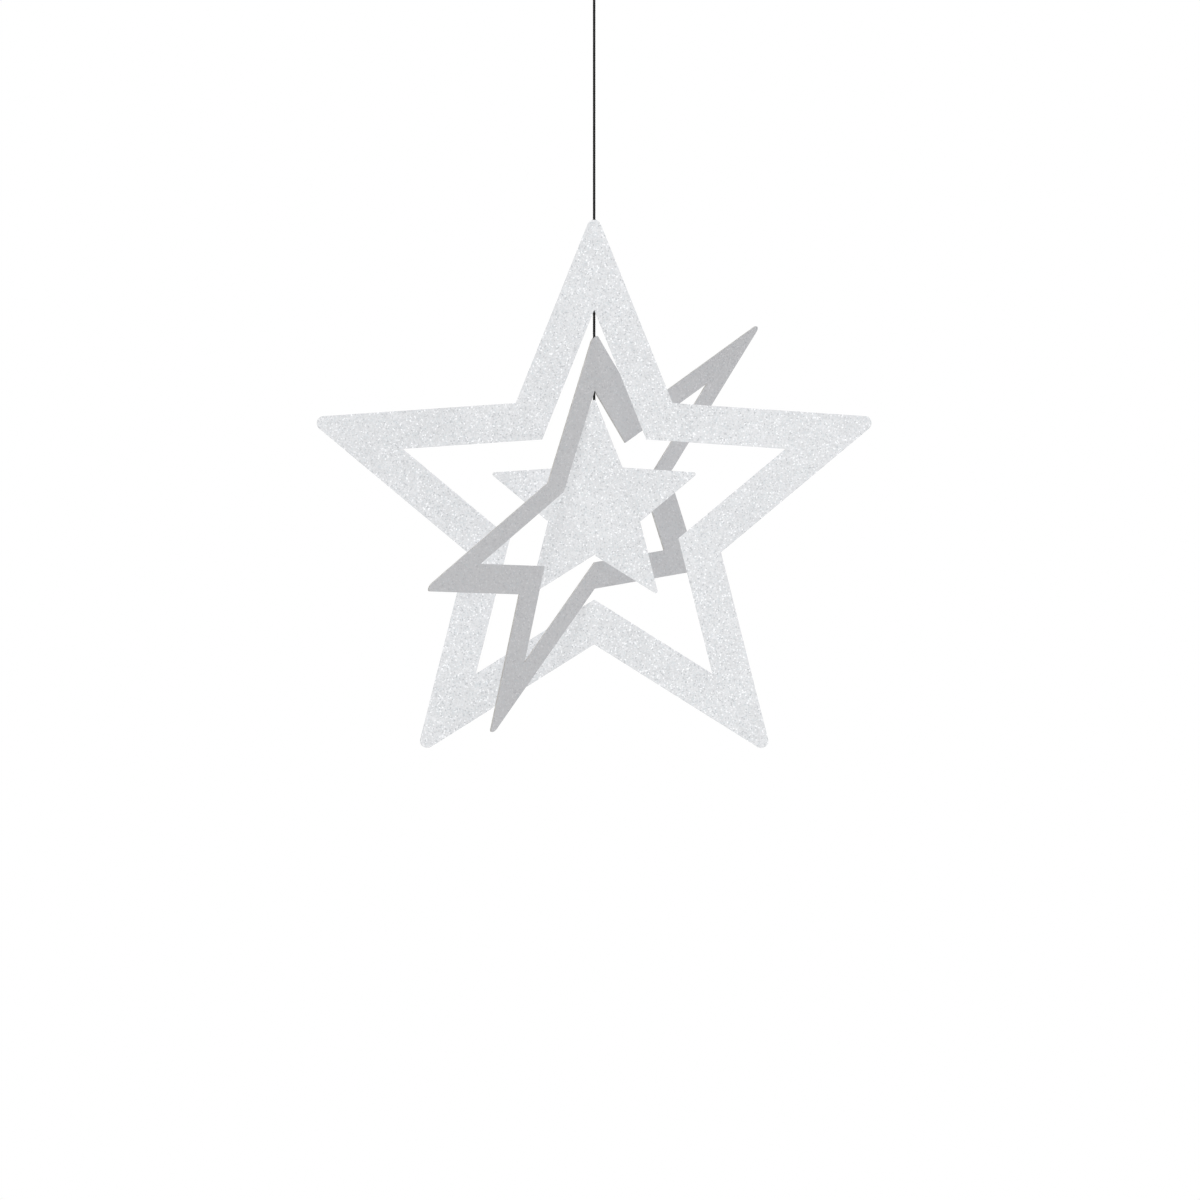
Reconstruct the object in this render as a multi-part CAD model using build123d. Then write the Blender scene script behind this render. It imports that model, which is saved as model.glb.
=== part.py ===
from build123d import *

import os
from dataclasses import dataclass
from math import acos, atan2, cos, degrees, hypot, pi, radians, sin

# A hanging paper decoration, in millimetres: three nested five-pointed card stars on one cord.
#
# The cord hangs from a tied loop. It runs between the papers of the outer star, crosses its
# opening, carries the middle star the same way, and ends inside the solid inner star. Every
# star is a die-cut laminate: a board core, with glitter paper on both faces and a slot for the
# cord, which is pressed flat there.
#
# Frame: +Z up, X across the outer star's face, -Y the side its front paper faces. The origin
# is the top of the loop's inside, where it rests on a hook, and the cord lies on the Z axis.

# Star shape shared by all three: five arms, and each notch's radius as a share of its tip's
ARMS = 5
NOTCH_SHARE = 0.44

# Outer star, its sharp tips' radius and the width of its frame. The other two are sized to fit.
OUTER_RADIUS = 153.0
OUTER_BAND = 19.2
MIDDLE_BAND = 11.25
OUTER_TIP_ROUND = 3.6
MIDDLE_TIP_ROUND = 1.9
INNER_TIP_ROUND = 1.0

# Gaps on the cord's line, where a star hangs inside the one around it. The cord crosses the
# upper gap, from the opening's top corner to the star's tip, and the lower one is free.
MIDDLE_UPPER_GAP = 13.7
MIDDLE_LOWER_GAP = 5.45
INNER_UPPER_GAP = 4.75
INNER_LOWER_GAP = 3.7

# Laminate
CORE_T = 0.7
PAPER_T = 0.2

# Cord
CORD_D = 1.2
SLOT_CLEARANCE = 0.05  # each side of the pressed cord
NECK = 2.0  # round cord that stands above the outer star's tip and turns with that star
MEETING_GAP = 0.05  # between the ends of two cord pieces that turn against each other

# Loop and its knot
LOOP_INNER_R = 6.0
LOOP_LENGTH = 26.0  # top of the loop's inside to the knot's centre
KNOT_R = 2.0
KNOT_GAP = 0.1  # between the knot and the cord on each side of it
LEG_GAP = 0.1  # between the loop's two legs where they reach the knot
TAIL_LENGTH = 6.0  # the cut end, from the knot's centre
TAIL_RISE = 15.0  # degrees above level

# Cord above and at the end of the stars
KNOT_TO_OUTER = 118.0  # knot's centre to the outer star's tip
INNER_GRIP = 16.0  # length of cord glued inside the inner star

# What follows from those
STEP = radians(180 / ARMS)  # from a tip to the next notch, round the centre
TIP_HALF = atan2(NOTCH_SHARE * sin(STEP), 1 - NOTCH_SHARE * cos(STEP))  # half of a tip's angle
RETREAT = 1 / sin(TIP_HALF) - 1  # how far rounding takes a tip back, in rounding radii
PRESSED_W = pi * CORD_D**2 / 4 / CORE_T  # the cord's width, pressed to the core's thickness
SLOT_W = PRESSED_W + 2 * SLOT_CLEARANCE


@dataclass(frozen=True)
class Star:
    """One star. The radius is to the sharp tips, before they are rounded.

    stretch and rake shape the middle star: it is drawn as a regular star, then widened by
    stretch and slid upwards by rake for each millimetre across, so one side arm points up and
    the other down. Its middle stays below its top tip, so it still hangs straight.
    """

    name: str
    radius: float
    tip_round: float
    band: float = 0.0  # width of the frame round the opening, or 0 for a solid star
    stretch: float = 1.0
    rake: float = 0.0
    turn: float = 0.0  # degrees about the cord, with the left side coming forwards


def tip_height(star):
    """Height of the star's rounded top tip, on the cord's line, above its centre."""
    return star.radius - RETREAT * star.tip_round


def slot_top(star):
    """Height of the slot's top above the centre: clear of a raked star's higher shoulder."""
    return tip_height(star) + star.rake * SLOT_W / 2


def opening_radius(star):
    """Tip radius of the opening, whose edges run parallel to the star's own."""
    return star.radius - star.band / sin(TIP_HALF)


def leaves_opening_z(star, apex_z):
    """Height below the opening's top corner where the cord is clear of both its edges.

    The corner's steeper edge is on the left of a raked star and on both sides of a plain one.
    """
    notch_x = -NOTCH_SHARE * sin(STEP) * star.stretch
    notch_fall = 1 - NOTCH_SHARE * cos(STEP) - star.rake * notch_x
    return apex_z - (PRESSED_W / 2 + SLOT_CLEARANCE) * notch_fall / -notch_x


def nested_radius(around, upper_gap, lower_gap, tip_round):
    """Radius of a star that fits in an opening's height, from its tip to its lowest notch."""
    height = opening_radius(around) * (1 + NOTCH_SHARE) - upper_gap - lower_gap
    return (height + RETREAT * tip_round) / (1 + NOTCH_SHARE)


OUTER = Star("outer", OUTER_RADIUS, OUTER_TIP_ROUND, band=OUTER_BAND)
MIDDLE = Star(
    "middle",
    nested_radius(OUTER, MIDDLE_UPPER_GAP, MIDDLE_LOWER_GAP, MIDDLE_TIP_ROUND),
    MIDDLE_TIP_ROUND,
    band=MIDDLE_BAND,
    stretch=1.25,
    rake=0.642,
    turn=37.0,
)
INNER = Star(
    "inner",
    nested_radius(MIDDLE, INNER_UPPER_GAP, INNER_LOWER_GAP, INNER_TIP_ROUND),
    INNER_TIP_ROUND,
)

# Heights, from the loop downwards
KNOT_Z = -LOOP_LENGTH
OUTER_TIP_Z = KNOT_Z - KNOT_TO_OUTER
OUTER_Z = OUTER_TIP_Z - tip_height(OUTER)
OUTER_APEX_Z = OUTER_Z + opening_radius(OUTER)
MIDDLE_TIP_Z = OUTER_APEX_Z - MIDDLE_UPPER_GAP
MIDDLE_Z = MIDDLE_TIP_Z - tip_height(MIDDLE)
MIDDLE_APEX_Z = MIDDLE_Z + opening_radius(MIDDLE)
INNER_TIP_Z = MIDDLE_APEX_Z - INNER_UPPER_GAP
INNER_Z = INNER_TIP_Z - tip_height(INNER)

# Tops of the round necks, where the cord twists as a star turns: halfway down each free stretch
OUTER_NECK_Z = OUTER_TIP_Z + NECK
MIDDLE_NECK_Z = (leaves_opening_z(OUTER, OUTER_APEX_Z) + MIDDLE_TIP_Z) / 2
INNER_NECK_Z = (leaves_opening_z(MIDDLE, MIDDLE_APEX_Z) + INNER_TIP_Z) / 2


def outline(star, radius, rounding):
    """Closed outline of the star in the XY plane, with round tips unless rounding is 0."""

    def place(r, angle):
        x, y = r * cos(angle), r * sin(angle)
        return Vector(star.stretch * x, y + star.rake * star.stretch * x)

    edges = []
    side = radius * sin(STEP) * NOTCH_SHARE / sin(TIP_HALF)  # tip to notch, before the stretch
    share = rounding * cos(TIP_HALF) / sin(TIP_HALF) / side  # of the side, that the arc takes
    for arm in range(ARMS):
        angle = radians(90) + 2 * STEP * arm
        tip = place(radius, angle)
        before = place(NOTCH_SHARE * radius, angle - STEP)
        after = place(NOTCH_SHARE * radius, angle + STEP)
        if rounding:
            start = tip + (before - tip) * share
            end = tip + (after - tip) * share
            edges.append(Line(before, start))
            edges.append(Bezier(start, tip, end, weights=(1, sin(TIP_HALF), 1)))
            edges.append(Line(end, after))
        else:
            edges.append(Line(before, tip))
            edges.append(Line(tip, after))
    return Wire(edges)


def star_face(star):
    """The star's flat shape, with its opening if it has one."""
    face = Face(outline(star, star.radius, star.tip_round))
    if star.band:
        face -= Face(outline(star, opening_radius(star), 0))
    return face


def layer(star, centre_z, low, high):
    """A sheet of the star between two depths behind its mid-plane, before it is turned."""
    sheet = extrude(star_face(star), amount=high - low)
    return Pos(0, high, centre_z) * Rot(90, 0, 0) * sheet


def turned(star, shape):
    """The shape turned about the cord to where the star hangs at rest."""
    return Rot(0, 0, star.turn) * shape


def standing_box(width, depth, low_z, high_z):
    """A box centred on the cord between two heights."""
    return Pos(0, 0, (low_z + high_z) / 2) * Box(width, depth, high_z - low_z)


def standing_rod(low_z, high_z):
    """A straight round stretch of the cord between two heights."""
    return Pos(0, 0, (low_z + high_z) / 2) * Cylinder(CORD_D / 2, high_z - low_z)


def laminate(star, centre_z, slot):
    """The star's core with its cord slot, and its two papers, by node name."""
    half = CORE_T / 2
    core = layer(star, centre_z, -half, half) - slot
    front = layer(star, centre_z, -half - PAPER_T, -half)
    back = layer(star, centre_z, half, half + PAPER_T)
    return {
        f"{star.name}_core": turned(star, core),
        f"{star.name}_front_paper": turned(star, front),
        f"{star.name}_back_paper": turned(star, back),
    }


def threaded_star(star, centre_z, apex_z, neck_z, next_neck_z):
    """A framed star, and the cord from its neck down through it to the next star's neck."""
    top_z = centre_z + slot_top(star)
    free_z = leaves_opening_z(star, apex_z)
    slot = standing_box(SLOT_W, CORE_T, free_z, top_z)
    cord = standing_rod(top_z, neck_z)
    cord += standing_box(PRESSED_W, CORE_T, free_z, top_z)
    cord += standing_rod(next_neck_z + MEETING_GAP, free_z)
    return laminate(star, centre_z, slot), turned(star, cord)


def inner_star():
    """The solid star, and the end of the cord that is glued inside it."""
    slot = standing_box(SLOT_W, CORE_T, INNER_TIP_Z - INNER_GRIP, INNER_TIP_Z)
    cord = standing_rod(INNER_TIP_Z, INNER_NECK_Z)
    cord += standing_box(PRESSED_W, CORE_T, INNER_TIP_Z - INNER_GRIP, INNER_TIP_Z)
    return laminate(INNER, INNER_Z, slot), cord


def hanging_cord():
    """The straight cord from the knot down to the outer star's neck."""
    return standing_rod(OUTER_NECK_Z + MEETING_GAP, KNOT_Z - KNOT_R - KNOT_GAP)


def loop():
    """The tied loop: half a ring over the hook, and two straight legs tangent to it."""
    ring_r = LOOP_INNER_R + CORD_D / 2
    ring_z = -LOOP_INNER_R
    leg_x = (CORD_D + LEG_GAP) / 2
    reach = KNOT_R + KNOT_GAP + CORD_D / 2  # the legs' ends, with their corners clear of the knot
    leg_z = KNOT_Z + reach
    run = hypot(leg_x, ring_z - leg_z)
    # Angle, at the ring's centre, from straight down to where the leg touches the ring.
    touch = atan2(leg_x, ring_z - leg_z) + acos(ring_r / run)
    touch_x, touch_z = ring_r * sin(touch), ring_z - ring_r * cos(touch)
    right_leg = Line((leg_x, 0, leg_z), (touch_x, 0, touch_z))
    arch = ThreePointArc((touch_x, 0, touch_z), (0, 0, ring_z + ring_r), (-touch_x, 0, touch_z))
    left_leg = Line((-touch_x, 0, touch_z), (-leg_x, 0, leg_z))
    path = Wire([right_leg, arch, left_leg])
    print(f"loop: ring radius {ring_r:.2f}, leg touches it at {degrees(touch):.0f} degrees")
    section = Plane(origin=path @ 0, z_dir=path % 0) * Circle(CORD_D / 2)
    return sweep(section, path=path)


def knot():
    """The loop's knot, a plain ball about the point the cord swings from, and the cut end."""
    ball = Pos(0, 0, KNOT_Z) * Sphere(KNOT_R)
    tail = Cylinder(CORD_D / 2, TAIL_LENGTH, align=(Align.CENTER, Align.CENTER, Align.MIN))
    return ball + Pos(0, 0, KNOT_Z) * Rot(TAIL_RISE - 90, 0, 0) * tail


def build():
    """Every node's solid, by name."""
    outer, upper_link = threaded_star(OUTER, OUTER_Z, OUTER_APEX_Z, OUTER_NECK_Z, MIDDLE_NECK_Z)
    middle, lower_link = threaded_star(
        MIDDLE, MIDDLE_Z, MIDDLE_APEX_Z, MIDDLE_NECK_Z, INNER_NECK_Z
    )
    inner, cord_end = inner_star()
    return {
        "hanging_loop": loop(),
        "loop_knot": knot(),
        "hanging_cord": hanging_cord(),
        "upper_link_cord": upper_link,
        "lower_link_cord": lower_link,
        "inner_cord_end": cord_end,
        **outer,
        **middle,
        **inner,
    }


os.makedirs("parts", exist_ok=True)
for node, shape in build().items():
    export_step(shape, f"parts/{node}.step")
print(f"centres: outer {OUTER_Z:.2f}, middle {MIDDLE_Z:.2f}, inner {INNER_Z:.2f}")
print(f"necks: outer {OUTER_NECK_Z:.3f}, middle {MIDDLE_NECK_Z:.3f}, inner {INNER_NECK_Z:.3f}")
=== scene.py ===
"""A hanging decoration: three nested five-pointed glitter-card stars on one dark cord.

Sizes are in millimetres, as the maker would give them, and turned to metres where a mesh is
made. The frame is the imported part's: +Z up, the cord on the Z axis, -Y the front.
"""

import logging
import math
from abc import ABC, abstractmethod
from dataclasses import dataclass
from enum import Enum
from functools import cache, cached_property
from typing import Any, Iterable, Optional

import bpy
import numpy as np
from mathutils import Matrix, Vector
from mathutils.geometry import delaunay_2d_cdt


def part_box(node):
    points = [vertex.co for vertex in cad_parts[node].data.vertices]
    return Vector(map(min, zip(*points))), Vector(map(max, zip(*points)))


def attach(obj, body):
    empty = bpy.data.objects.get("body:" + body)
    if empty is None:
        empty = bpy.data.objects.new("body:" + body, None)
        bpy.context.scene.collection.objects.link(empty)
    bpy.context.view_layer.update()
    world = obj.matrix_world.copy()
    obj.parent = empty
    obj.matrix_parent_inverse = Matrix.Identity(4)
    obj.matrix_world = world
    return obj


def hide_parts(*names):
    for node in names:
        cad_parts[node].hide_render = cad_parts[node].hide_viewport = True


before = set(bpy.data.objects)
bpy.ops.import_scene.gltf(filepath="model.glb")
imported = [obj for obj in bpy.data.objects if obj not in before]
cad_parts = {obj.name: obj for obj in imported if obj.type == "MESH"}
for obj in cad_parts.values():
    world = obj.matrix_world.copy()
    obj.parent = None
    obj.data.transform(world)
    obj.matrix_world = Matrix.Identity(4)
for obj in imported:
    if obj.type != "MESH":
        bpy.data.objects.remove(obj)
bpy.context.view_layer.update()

LOG = logging.getLogger("hanging_star")
MM = 0.001
Faces = list[tuple[int, ...]]
Route = tuple[tuple[float, float, float], ...]
Mesh = tuple[np.ndarray, Faces]
Piece = bpy.types.Object
Tree = bpy.types.NodeTree
Socket = bpy.types.NodeSocket

# The outline that all three stars share
ARMS = 5
NOTCH_SHARE = 0.44
STEP = math.pi / ARMS
TIP_HALF = math.atan2(NOTCH_SHARE * math.sin(STEP), 1 - NOTCH_SHARE * math.cos(STEP))
RETREAT = 1 / math.sin(TIP_HALF) - 1

# Board, papers, cord, and the cord's slot in the board
CORE_T = 0.7
PAPER_T = 0.2
CORD_D = 1.2
PRESSED_W = math.pi * CORD_D**2 / 4 / CORE_T
SLOT_CLEARANCE = 0.05
SLOT_W = PRESSED_W + 2 * SLOT_CLEARANCE

# The knot's height, the free cord above the outer star, and the gap where two lengths meet
KNOT_Z = -26.0
NECK = 2.0
MEETING_GAP = 0.05

# A colour Mix node's sockets, by number, since its other kinds share their names
FACTOR = 0
FIRST = 6
SECOND = 7
MIXED = 2


class Side(Enum):
    """The two faces of a card, and the way each looks along the card's own depth."""

    FRONT = -1
    BACK = 1


def linear(colour: str) -> tuple[float, float, float, float]:
    """Turns an sRGB hex colour into linear light.

    Args:
        colour: Six hex digits after a hash, such as "#c8ccd0".

    Returns:
        Red, green, blue and an alpha of 1.
    """
    channels = (int(colour[i : i + 2], 16) / 255 for i in (1, 3, 5))
    red, green, blue = (c / 12.92 if c <= 0.04045 else ((c + 0.055) / 1.055) ** 2.4 for c in channels)
    return (red, green, blue, 1.0)


def add_node(
    tree: Tree,
    kind: str,
    settings: Optional[dict[str, Any]] = None,
    inputs: Optional[dict[Any, Any]] = None,
) -> bpy.types.Node:
    """Adds one node with its settings and links.

    Args:
        tree: The tree that gets the node.
        kind: Blender's name for the node type, after its ShaderNode prefix.
        settings: The node's own properties.
        inputs: By socket name or number, a value, or an output socket to link from.

    Returns:
        The new node.
    """
    node = tree.nodes.new(f"ShaderNode{kind}")
    for key, value in (settings or {}).items():
        setattr(node, key, value)
    for key, value in (inputs or {}).items():
        if isinstance(value, Socket):
            tree.links.new(value, node.inputs[key])
        else:
            node.inputs[key].default_value = value
    return node


def per_metre(size_mm: float) -> float:
    """A texture scale whose cells are about this many millimetres across."""
    return 1 / (size_mm * MM)


@dataclass(frozen=True)
class Finish(ABC):
    """A real material, named for what it is and how its surface was made.

    Attributes:
        name: The material's name.
    """

    name: str

    @abstractmethod
    def look(self, tree: Tree, place: Socket) -> dict[str, Any]:
        """Adds the finish's own nodes.

        Args:
            tree: The material's tree.
            place: Each point's place on its piece, in metres.

        Returns:
            The shader's inputs by name, each a value or a socket to link from.
        """

    @cache
    def material(self) -> bpy.types.Material:
        """Builds the node material, once for all the pieces that have it.

        Returns:
            The material.
        """
        material = bpy.data.materials.new(self.name)
        material.use_nodes = True
        tree = material.node_tree
        tree.nodes.clear()
        place = add_node(tree, "TexCoord").outputs["Object"]
        shader = add_node(tree, "BsdfPrincipled", inputs=self.look(tree, place))
        add_node(tree, "OutputMaterial", inputs={"Surface": shader.outputs[0]})
        return material


@dataclass(frozen=True)
class GlitterPaper(Finish):
    """Paper rolled with crushed aluminised film in clear lacquer.

    To the eye it is a pale metal sheet broken into grains: most face the viewer and look alike,
    a few catch the light and a few turn away, and the lacquer lies a little thicker in places.
    Those that catch the light get a painted glint in their colour, and those that turn away
    painted shade.

    Attributes:
        facing: Colour of most grains.
        pale: Colour of the lighter half of those.
        painted_glint: Colour of the grains that catch the light: a painted glint.
        turned: Colour of the grains that turn away from the light: painted shade.
        tint: Colour of the few grains with a cool or green cast.
        grain_mm: Width of a grain. The real ones are about 0.2 mm, too fine to show, so these
            are drawn coarser.
        drift_mm: Width of a small drift of lacquer.
        cloud_mm: Width of a broad one.
        drift_weight: How much a small drift lightens the grains, beside a broad one's 1.
        grain_weight: How much a grain's own lot does.
        pale_range: The sums of these at which grains start to be pale, and all are.
        painted_glint_share: Share of the grains with the painted glint.
        painted_shade_share: Share with the painted shade.
        tinted_share: Share that have the cast.
        tilt: How far grains lean out of the sheet.
        roughness: Of the smoothest and the roughest grains, under lacquer.
        metallic: Of film seen through lacquer.
    """

    facing: str
    pale: str
    painted_glint: str
    turned: str
    tint: str
    grain_mm: float = 0.62
    drift_mm: float = 2.6
    cloud_mm: float = 34.0
    drift_weight: float = 1.3
    grain_weight: float = 0.5
    pale_range: tuple[float, float] = (0.9, 1.9)
    painted_glint_share: float = 0.06
    painted_shade_share: float = 0.06
    tinted_share: float = 0.12
    tilt: float = 0.25
    roughness: tuple[float, float] = (0.6, 0.76)
    metallic: float = 0.25

    def look(self, tree: Tree, place: Socket) -> dict[str, Any]:
        """Draws a lot for each grain, which gives it its colour, lean and roughness.

        Args:
            tree: The material's tree.
            place: Each point's place on its piece, in metres.

        Returns:
            The shader's inputs by name.
        """
        scale = per_metre(self.grain_mm)
        grain = add_node(
            tree,
            "TexVoronoi",
            {"feature": "F1"},
            {"Vector": place, "Scale": scale, "Randomness": 1.0},
        ).outputs["Color"]
        lot = add_node(tree, "SeparateColor", inputs={"Color": grain}).outputs
        low, high = self.roughness
        roughness = add_node(
            tree, "MapRange", inputs={"Value": lot["Blue"], "To Min": low, "To Max": high}
        )
        return {
            "Base Color": self.colour(tree, place, lot),
            "Metallic": self.metallic,
            "Roughness": roughness.outputs[0],
            "Normal": self.normal(tree, grain),
        }

    def colour(self, tree: Tree, place: Socket, lot: bpy.types.bpy_prop_collection) -> Socket:
        """Colours the grains, paler where the lacquer is thick, with a painted glint on a few and
        painted shade on a few.

        Args:
            tree: The material's tree.
            place: Each point's place on its piece, in metres.
            lot: The three random values of each grain.

        Returns:
            The colour's socket.
        """
        drift = add_node(
            tree,
            "TexNoise",
            inputs={"Vector": place, "Scale": per_metre(self.drift_mm), "Detail": 3.0, "Roughness": 0.7},
        )
        cloud = add_node(
            tree,
            "TexNoise",
            inputs={"Vector": place, "Scale": per_metre(self.cloud_mm), "Detail": 4.0, "Roughness": 0.6},
        )
        lighter = cloud.outputs["Fac"]
        parts = ((drift.outputs["Fac"], self.drift_weight), (lot["Red"], self.grain_weight))
        for part, weight in parts:
            total = add_node(
                tree, "Math", {"operation": "MULTIPLY_ADD"}, {0: part, 1: weight, 2: lighter}
            )
            lighter = total.outputs[0]
        low, high = self.pale_range
        share = add_node(
            tree, "MapRange", inputs={"Value": lighter, "From Min": low, "From Max": high}
        ).outputs[0]
        colour = linear(self.facing)
        # A painted glint on one share of the grains, painted shade on another, and a tint on a few
        picks = (
            (lot["Green"], "LESS_THAN", self.painted_glint_share, self.painted_glint),
            (lot["Green"], "GREATER_THAN", 1 - self.painted_shade_share, self.turned),
            (lot["Blue"], "LESS_THAN", self.tinted_share, self.tint),
        )
        chosen = [(share, self.pale)]
        for channel, test, limit, picked in picks:
            choice = add_node(tree, "Math", {"operation": test}, {0: channel, 1: limit})
            chosen.append((choice.outputs[0], picked))
        for factor, picked in chosen:
            mixed = add_node(
                tree,
                "Mix",
                {"data_type": "RGBA"},
                {FACTOR: factor, FIRST: colour, SECOND: linear(picked)},
            )
            colour = mixed.outputs[MIXED]
        return colour

    def normal(self, tree: Tree, grain: Socket) -> Socket:
        """Leans each grain out of the sheet by its own random colour.

        Args:
            tree: The material's tree.
            grain: Each grain's random colour.

        Returns:
            The normal's socket.
        """
        lean = add_node(tree, "VectorMath", {"operation": "SUBTRACT"}, {0: grain, 1: (0.5, 0.5, 0.5)})
        sheet = add_node(tree, "NewGeometry").outputs["Normal"]
        tilted = add_node(
            tree,
            "VectorMath",
            {"operation": "MULTIPLY_ADD"},
            {0: lean.outputs[0], 1: (self.tilt,) * 3, 2: sheet},
        )
        return add_node(
            tree, "VectorMath", {"operation": "NORMALIZE"}, {0: tilted.outputs[0]}
        ).outputs[0]


@dataclass(frozen=True)
class FilmFlakes(Finish):
    """Hexagonal flakes punched from aluminised film and scattered over the grains.

    Each is a flat mirror at its own slight tilt. Each also gets a painted reflection in its colour, from
    painted shade to a painted glint, drawn at random apart from its tilt.

    Attributes:
        painted_shade_flake: Colour of the darkest flakes, painted shade.
        painted_glint: Colour of the lightest, a painted glint.
        metallic: Of the film under the last coat of lacquer.
        roughness: Of its clear and its scuffed places.
        scuff_mm: Width of a scuff.
        attribute: Name of the mesh attribute that holds each flake's share between painted shade and the
            painted glint.
    """

    painted_shade_flake: str
    painted_glint: str
    metallic: float = 0.5
    roughness: tuple[float, float] = (0.52, 0.64)
    scuff_mm: float = 0.25
    attribute: str = "flake_shade"

    def look(self, tree: Tree, place: Socket) -> dict[str, Any]:
        """Colours each flake by its own shade, between painted shade and a painted glint, and scuffs it
        a little.

        Args:
            tree: The material's tree.
            place: Each point's place on its piece, in metres.

        Returns:
            The shader's inputs by name.
        """
        shade = add_node(tree, "Attribute", {"attribute_name": self.attribute})
        colour = add_node(
            tree,
            "Mix",
            {"data_type": "RGBA"},
            {FACTOR: shade.outputs["Fac"], FIRST: linear(self.painted_shade_flake), SECOND: linear(self.painted_glint)},
        )
        scale = per_metre(self.scuff_mm)
        scuff = add_node(tree, "TexNoise", inputs={"Vector": place, "Scale": scale})
        low, high = self.roughness
        roughness = add_node(
            tree,
            "MapRange",
            inputs={"Value": scuff.outputs["Fac"], "To Min": low, "To Max": high},
        )
        return {
            "Base Color": colour.outputs[MIXED],
            "Metallic": self.metallic,
            "Roughness": roughness.outputs[0],
        }


@dataclass(frozen=True)
class MattFibres(Finish):
    """A matt surface of fine fibres, lighter where they stand out, and in broad patches.

    Attributes:
        pale: Colour of the lightest fibres.
        dark: Colour of the darkest.
        fibre_mm: Width of a fibre, drawn a few times coarser than real ones, which are too fine
            to show.
        patch_mm: Width of a patch.
        detail: Layers of finer fibres.
        spread: The strengths at which the surface is darkest and lightest.
        relief: How strongly the fibres shade.
        relief_mm: How far they stand out.
        roughness: Of the whole surface.
        gloss: Its specular level.
    """

    pale: str
    dark: str
    fibre_mm: float
    patch_mm: float
    detail: float
    spread: tuple[float, float]
    relief: float
    roughness: float
    gloss: float
    relief_mm: float = 0.05

    def look(self, tree: Tree, place: Socket) -> dict[str, Any]:
        """Shades the fibres and the patches, and raises the fibres.

        Args:
            tree: The material's tree.
            place: Each point's place on its piece, in metres.

        Returns:
            The shader's inputs by name.
        """
        fibre = add_node(
            tree,
            "TexNoise",
            inputs={"Vector": place, "Scale": per_metre(self.fibre_mm), "Detail": self.detail},
        ).outputs["Fac"]
        scale = per_metre(self.patch_mm)
        patch = add_node(tree, "TexNoise", inputs={"Vector": place, "Scale": scale})
        mixed = add_node(tree, "Math", {"operation": "MULTIPLY"}, {0: fibre, 1: patch.outputs["Fac"]})
        low, high = self.spread
        share = add_node(
            tree,
            "MapRange",
            inputs={"Value": mixed.outputs[0], "From Min": low, "From Max": high},
        )
        colour = add_node(
            tree,
            "Mix",
            {"data_type": "RGBA"},
            {FACTOR: share.outputs[0], FIRST: linear(self.dark), SECOND: linear(self.pale)},
        )
        raised = add_node(
            tree,
            "Bump",
            inputs={"Height": fibre, "Strength": self.relief, "Distance": self.relief_mm * MM},
        )
        return {
            "Base Color": colour.outputs[MIXED],
            "Roughness": self.roughness,
            "Specular IOR Level": self.gloss,
            "Normal": raised.outputs[0],
        }


@dataclass(frozen=True)
class RolledPaint(Finish):
    """Matt white paint, rolled on: a pale ground with a faint stipple.

    Attributes:
        pale: Colour of the stipple's tops.
        dark: Colour between them.
        stipple_mm: Width of a dot of the stipple.
        roughness: Of the whole surface.
    """

    pale: str
    dark: str
    stipple_mm: float = 8.0
    roughness: float = 0.8

    def look(self, tree: Tree, place: Socket) -> dict[str, Any]:
        """Colours the stipple.

        Args:
            tree: The material's tree.
            place: Each point's place on its piece, in metres.

        Returns:
            The shader's inputs by name.
        """
        scale = per_metre(self.stipple_mm)
        stipple = add_node(tree, "TexNoise", inputs={"Vector": place, "Scale": scale})
        colour = add_node(
            tree,
            "Mix",
            {"data_type": "RGBA"},
            {FACTOR: stipple.outputs["Fac"], FIRST: linear(self.dark), SECOND: linear(self.pale)},
        )
        return {"Base Color": colour.outputs[MIXED], "Roughness": self.roughness}


# A few grains carry a painted glint, and a few painted shade
SILVER_PAPER = GlitterPaper(
    name="silver_glitter_paper",
    facing="#cacbcd",
    pale="#d9dadc",
    painted_glint="#e9eaec",
    turned="#babcbf",
    tint="#ced2d5",
)

# The silver paper again, drawn darker all over: painted shade of the middle star's turn from the light
# Less contrast between grains than the silver, so that it reads as a greyer, evener sheet
SILVER_PAPER_PAINTED_SHADE = GlitterPaper(
    name="grey_glitter_paper",
    facing="#afafb1",
    pale="#b5b5b7",
    painted_glint="#bcbcbe",
    turned="#a8a8ab",
    tint="#b0b3b6",
    tilt=0.18,
)
# Flakes coloured between painted shade and a painted glint, each at random
SILVER_FLAKES = FilmFlakes("silver_film_flakes", painted_shade_flake="#c2c4c7", painted_glint="#e1e2e5")
# The silver flakes drawn darker, like the middle star's papers: painted shade of its turn
SILVER_FLAKES_PAINTED_SHADE = FilmFlakes("grey_film_flakes", painted_shade_flake="#a8a8ab", painted_glint="#bcbcbf", metallic=0.3)

# Grey board of pressed wood fibre, die cut, so that its edge shows matt fibres
BOARD = MattFibres(
    name="pressed_grey_board",
    pale="#d4d2ce",
    dark="#a9a6a1",
    fibre_mm=0.12,
    patch_mm=2.4,
    detail=3.0,
    spread=(0.12, 0.4),
    relief=0.6,
    roughness=0.9,
    gloss=0.3,
)

# Black-dyed polyester yarn, braided: dark, nearly matt fibres, a little worn on top
BLACK_YARN = MattFibres(
    name="black_polyester_braid",
    pale="#262626",
    dark="#121212",
    fibre_mm=0.16,
    patch_mm=6.0,
    detail=2.0,
    spread=(0.1, 0.45),
    relief=0.5,
    roughness=0.8,
    gloss=0.12,
)
FLOOR_PAINT = RolledPaint("matt_white_paint", pale="#f4f4f2", dark="#ecece9")


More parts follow.
